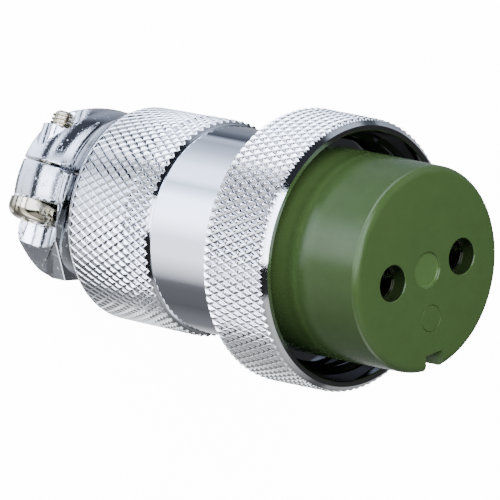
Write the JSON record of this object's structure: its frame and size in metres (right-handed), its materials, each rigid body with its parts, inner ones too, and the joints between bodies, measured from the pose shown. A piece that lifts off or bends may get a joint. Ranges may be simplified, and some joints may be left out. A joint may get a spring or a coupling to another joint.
{
  "type": "circular connector plug",
  "caption": "Round metal cable plug with a green keyed insulator, socket contacts, a free-turning knurled coupling nut, a knurled back shell and a screwed cable clamp.",
  "frame": {"origin": "on the plug's axis, in the plane of the cable clamp's flat end", "axes": "+Z along the plug's axis, out of the mating face; the key slot is on the -Y side"},
  "size_m": [0.034, 0.034, 0.0611],
  "materials": {
    "nut_chrome": "knurled, bright plated",
    "shell_chrome": "smooth, bright plated",
    "back_shell_chrome": "knurled, bright plated",
    "clamp_chrome": "die-cast, bright plated",
    "insulator_green": "moulded, semi-gloss",
    "contact_plated": "silver plated",
    "screw_nickel": "nickel plated",
    "spring_steel": "bare",
    "liner_black": "matt"
  },
  "bodies": {
    "plug": {"front_shell": "shell_chrome", "nut_washer": "spring_steel", "nut_snap_ring": "spring_steel", "insulator_nose": "insulator_green", "insulator_snap_ring": "spring_steel", "insulator_base": "insulator_green", "insulator_screw": "screw_nickel", "back_shell": "back_shell_chrome", "terminal_liner": "liner_black", "socket_contact_1": "contact_plated", "socket_contact_2": "contact_plated", "contact_spring_1": "spring_steel", "contact_spring_2": "spring_steel", "terminal_screw_1": "screw_nickel", "terminal_screw_2": "screw_nickel", "clamp_body": "clamp_chrome", "clamp_saddle": "clamp_chrome", "clamp_screw_1": "screw_nickel", "clamp_screw_2": "screw_nickel"},
    "nut": {"coupling_nut": "nut_chrome"}
  },
  "joints": [
    {"name": "coupling_nut_spin", "type": "hinge", "parent": "plug", "child": "nut", "pos_m": [0, 0, 0.0444], "axis": [0, 0, 1], "continuous": true}
  ]
}
